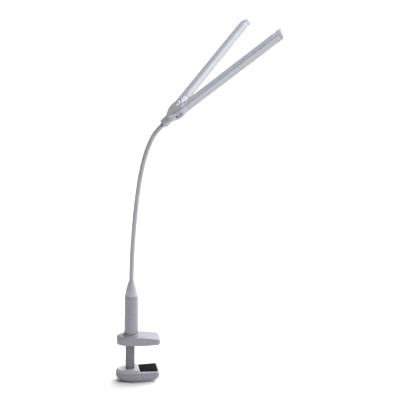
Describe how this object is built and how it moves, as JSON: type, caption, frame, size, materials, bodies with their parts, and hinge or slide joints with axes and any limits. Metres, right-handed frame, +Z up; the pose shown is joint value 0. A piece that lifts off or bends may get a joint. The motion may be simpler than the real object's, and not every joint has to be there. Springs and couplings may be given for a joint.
{
  "type": "desk lamp",
  "caption": "Clamp-on desk lamp: a bending neck over a swivelling mast carries hinged LED light bars, and a sliding jaw clamps it to a table top.",
  "frame": {"origin": "centre of the clamping face of the upper jaw's pad, which rests on the table top", "axes": "+Z up along the mast, +X the way the jaws point and the neck leans, +Y to the left of that"},
  "size_m": [0.2961, 0.2954, 0.7486],
  "materials": {
    "abs": "glossy white moulded ABS with a faint lilac cast",
    "post_plastic": "satin-gloss moulded plastic",
    "bar_plastic": "glossy white moulded plastic",
    "neck_sleeve": "satin light grey sleeve over a steel gooseneck",
    "rubber": "matt black rubber with a fine grain",
    "steel": "plain zinc-plated steel",
    "nylon": "natural nylon",
    "dark_plastic": "matt black moulding",
    "brass": "nickel-free brass contact",
    "board": "white solder mask",
    "diffuser": "milky frosted diffuser"
  },
  "bodies": {
    "upper_jaw": {"upper_jaw_housing": "abs", "upper_jaw_base_plate": "abs", "post_guide_plate": "steel", "upper_jaw_rear_screw": "steel", "upper_jaw_front_screw": "steel", "upper_jaw_pad": "rubber"},
    "lower_jaw": {"lower_jaw_bowl": "abs", "lower_jaw_deck": "abs", "lower_jaw_rear_screw": "steel", "lower_jaw_front_screw": "steel", "lower_jaw_pad": "rubber", "clamp_post": "post_plastic", "post_cross_pin": "steel", "post_foot_pin": "steel", "post_slider": "nylon", "slider_friction_ring": "rubber"},
    "mast": {"mast_tube": "abs", "mast_retaining_ring": "steel", "mast_cone_cap": "abs", "mast_plug": "nylon", "neck_base_nut": "steel", "power_inlet_jack": "dark_plastic", "power_inlet_pin": "brass", "driver_board": "board", "neck_link_1": "neck_sleeve"},
    "neck_2": {"neck_link_2": "neck_sleeve"},
    "neck_3": {"neck_link_3": "neck_sleeve"},
    "neck_4": {"neck_link_4": "neck_sleeve"},
    "neck_5": {"neck_link_5": "neck_sleeve"},
    "neck_6": {"neck_link_6": "neck_sleeve"},
    "neck_7": {"neck_link_7": "neck_sleeve"},
    "head": {"neck_link_8": "neck_sleeve", "hub_lower_shell": "abs", "hub_upper_shell": "abs", "hub_left_screw": "steel", "hub_right_screw": "steel", "left_pivot_pin": "steel", "right_pivot_pin": "steel", "left_upper_washer": "steel", "left_lower_washer": "steel", "right_upper_washer": "steel", "right_lower_washer": "steel"},
    "left_bar": {"left_bar_root": "abs", "left_bar_housing": "bar_plastic", "left_bar_diffuser": "diffuser", "left_led_board": "board", "left_bar_end_cap": "abs"},
    "right_bar": {"right_bar_root": "abs", "right_bar_housing": "bar_plastic", "right_bar_diffuser": "diffuser", "right_led_board": "board", "right_bar_end_cap": "abs"}
  },
  "joints": [
    {"name": "clamp_slide", "type": "slide", "parent": "upper_jaw", "child": "lower_jaw", "axis": [0, 0, 1], "range_m": [0, 0.05]},
    {"name": "mast_swivel", "type": "hinge", "parent": "upper_jaw", "child": "mast", "pos_m": [-0.0374, 0, 0.0265], "axis": [0, 0, 1], "range_deg": [-175, 175]},
    {"name": "neck_bend_1", "type": "hinge", "parent": "mast", "child": "neck_2", "pos_m": [-0.03718, 0, 0.164], "axis": [0, 1, 0], "range_deg": [-18, 18]},
    {"name": "neck_bend_2", "type": "hinge", "parent": "neck_2", "child": "neck_3", "pos_m": [-0.03545, 0, 0.2127], "axis": [0, 1, 0], "range_deg": [-18, 18]},
    {"name": "neck_lean_3", "type": "hinge", "parent": "neck_3", "child": "neck_4", "pos_m": [-0.03225, 0, 0.26133], "axis": [0.9968, 0, -0.0798], "range_deg": [-18, 18]},
    {"name": "neck_bend_4", "type": "hinge", "parent": "neck_4", "child": "neck_5", "pos_m": [-0.0277, 0, 0.30985], "axis": [0, 1, 0], "range_deg": [-18, 18]},
    {"name": "neck_lean_5", "type": "hinge", "parent": "neck_5", "child": "neck_6", "pos_m": [-0.02129, 0, 0.35815], "axis": [0.9871, 0, -0.16], "range_deg": [-18, 18]},
    {"name": "neck_bend_6", "type": "hinge", "parent": "neck_6", "child": "neck_7", "pos_m": [-0.01076, 0, 0.40571], "axis": [0, 1, 0], "range_deg": [-18, 18]},
    {"name": "neck_bend_7", "type": "hinge", "parent": "neck_7", "child": "head", "pos_m": [0.00892, 0, 0.45007], "axis": [0, 1, 0], "range_deg": [-18, 18]},
    {"name": "left_bar_swing", "type": "hinge", "parent": "head", "child": "left_bar", "pos_m": [0.0528, 0.0204, 0.4952], "axis": [-0.6997, 0, 0.7145], "range_deg": [-26.2, 63.8]},
    {"name": "right_bar_swing", "type": "hinge", "parent": "head", "child": "right_bar", "pos_m": [0.0528, -0.0204, 0.4952], "axis": [0.6997, 0, -0.7145], "range_deg": [-26.2, 63.8]}
  ]
}
